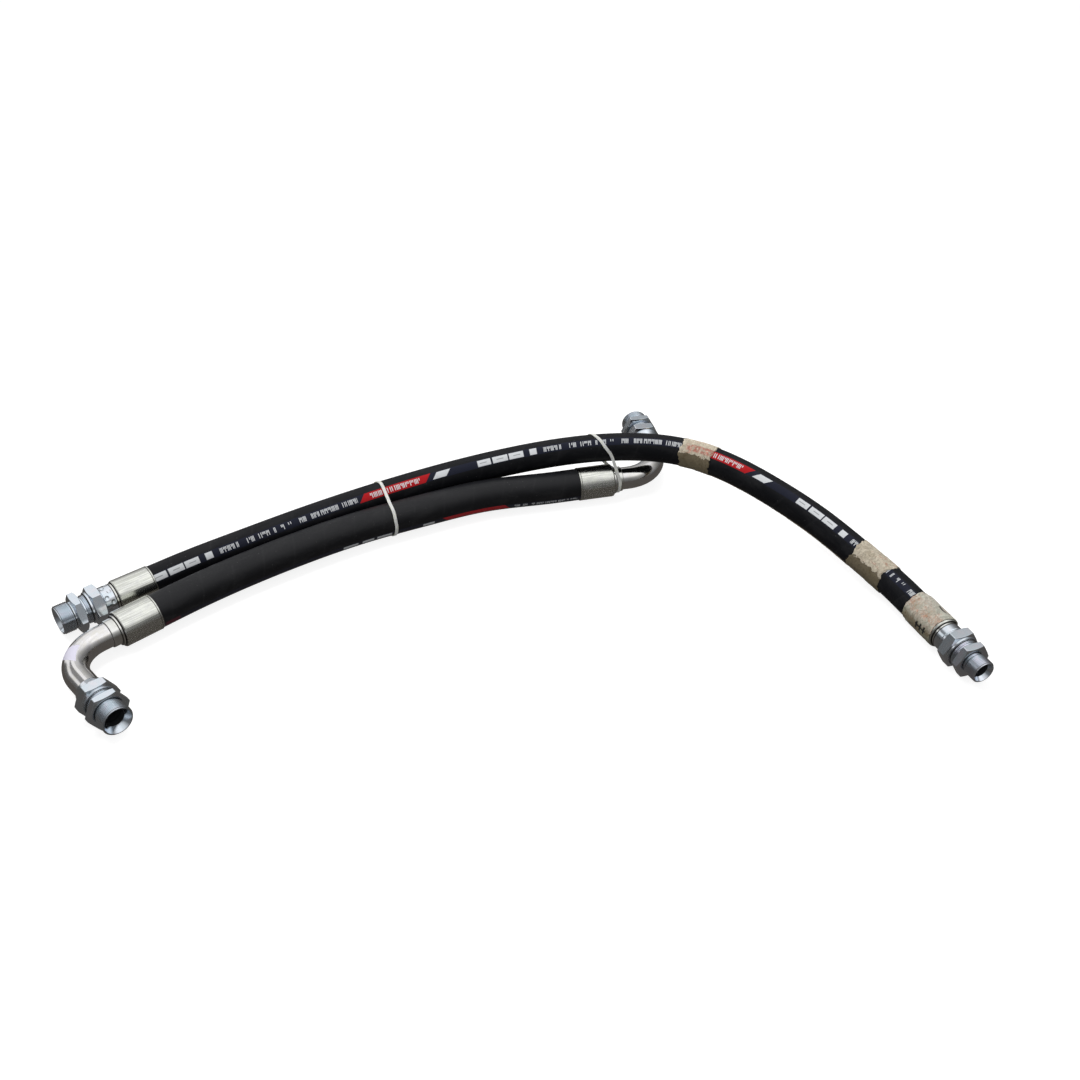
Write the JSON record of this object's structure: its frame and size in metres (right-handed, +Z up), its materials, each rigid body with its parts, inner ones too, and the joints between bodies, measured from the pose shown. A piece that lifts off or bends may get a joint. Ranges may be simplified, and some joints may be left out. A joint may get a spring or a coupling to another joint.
{
  "type": "hydraulic hose assembly",
  "caption": "Hydraulic hose set: a long hose with straight swivel ends and a shorter one with swept elbow ends, each end closed by a screwed adapter, lying tied side by side.",
  "frame": {"origin": "centre of the box round the fittings, ties and tapes, on the surface that the set lies on", "axes": "+X to the right in the picture, along the length of the set; +Y away from the camera; +Z up"},
  "size_m": [1.2543, 0.7112, 0.0978],
  "materials": {
    "hose_rubber": "semi-matt, dusty, with a printed stripe",
    "wire_braid": "brass-tinted steel wire, hidden in the wall",
    "liner_rubber": "smooth black rubber",
    "ferrule_steel": "crimped, satin zinc with soft lengthwise bands",
    "insert_steel": "turned, bright zinc",
    "elbow_steel": "smooth bent tube, bright zinc",
    "nut_zinc": "bright blue-white zinc on turned faces",
    "adapter_zinc": "bright blue-white zinc on turned faces",
    "seal_rubber": "smooth",
    "paper_tape": "creased masking tape, stained brown and pink",
    "tie_nylon": "milky natural nylon"
  },
  "bodies": {
    "hoses": {"hose_a_cover": "hose_rubber", "hose_a_braid": "wire_braid", "hose_a_liner": "liner_rubber", "hose_b_cover": "hose_rubber", "hose_b_braid": "wire_braid", "hose_b_liner": "liner_rubber", "a_left_ferrule": "ferrule_steel", "a_left_insert": "insert_steel", "a_left_seal": "seal_rubber", "a_right_ferrule": "ferrule_steel", "a_right_insert": "insert_steel", "a_right_seal": "seal_rubber", "b_left_ferrule": "ferrule_steel", "b_left_insert": "insert_steel", "b_left_elbow": "elbow_steel", "b_left_nose": "insert_steel", "b_left_seal": "seal_rubber", "b_right_ferrule": "ferrule_steel", "b_right_insert": "insert_steel", "b_right_elbow": "elbow_steel", "b_right_nose": "insert_steel", "b_right_seal": "seal_rubber", "tape_wrap_mid": "paper_tape", "tape_wrap_end": "paper_tape", "tape_strip": "paper_tape", "tape_ferrule": "paper_tape", "cable_tie_left": "tie_nylon", "cable_tie_right": "tie_nylon"},
    "a_left_nut": {"a_left_nut": "nut_zinc"},
    "a_left_adapter": {"a_left_adapter": "adapter_zinc"},
    "a_right_nut": {"a_right_nut": "nut_zinc"},
    "a_right_adapter": {"a_right_adapter": "adapter_zinc"},
    "b_left_nut": {"b_left_nut": "nut_zinc"},
    "b_left_adapter": {"b_left_adapter": "adapter_zinc"},
    "b_right_nut": {"b_right_nut": "nut_zinc"},
    "b_right_adapter": {"b_right_adapter": "adapter_zinc"}
  },
  "joints": [
    {"name": "a_left_nut_turn", "type": "hinge", "parent": "hoses", "child": "a_left_nut", "pos_m": [-0.56629, -0.1142, 0.025], "axis": [-0.7771, -0.6293, 0], "range_deg": [-1800, 0]},
    {"name": "a_left_adapter_slide", "type": "slide", "parent": "hoses", "child": "a_left_adapter", "axis": [-0.7771, -0.6293, 0], "range_m": [0, 0.01155]},
    {"name": "a_right_nut_turn", "type": "hinge", "parent": "hoses", "child": "a_right_nut", "pos_m": [0.5883, -0.19804, 0.025], "axis": [0.3907, -0.9205, 0], "range_deg": [-1800, 0]},
    {"name": "a_right_adapter_slide", "type": "slide", "parent": "hoses", "child": "a_right_adapter", "axis": [0.3907, -0.9205, 0], "range_m": [0, 0.01155]},
    {"name": "b_left_nut_turn", "type": "hinge", "parent": "hoses", "child": "b_left_nut", "pos_m": [-0.5245, -0.29686, 0.026], "axis": [0.6756, -0.7373, 0], "range_deg": [-1800, 0]},
    {"name": "b_left_adapter_slide", "type": "slide", "parent": "hoses", "child": "b_left_adapter", "axis": [0.6756, -0.7373, 0], "range_m": [0, 0.01155]},
    {"name": "b_right_nut_turn", "type": "hinge", "parent": "hoses", "child": "b_right_nut", "pos_m": [0.20934, 0.29041, 0.026], "axis": [-0.225, 0.9744, 0], "range_deg": [-1800, 0]},
    {"name": "b_right_adapter_slide", "type": "slide", "parent": "hoses", "child": "b_right_adapter", "axis": [-0.225, 0.9744, 0], "range_m": [0, 0.01155]}
  ],
  "couplings": [
    {"joint": "a_left_adapter_slide", "follows": "a_left_nut_turn", "m_per_rad": -0.00036749},
    {"joint": "a_right_adapter_slide", "follows": "a_right_nut_turn", "m_per_rad": -0.00036749},
    {"joint": "b_left_adapter_slide", "follows": "b_left_nut_turn", "m_per_rad": -0.00036749},
    {"joint": "b_right_adapter_slide", "follows": "b_right_nut_turn", "m_per_rad": -0.00036749}
  ]
}
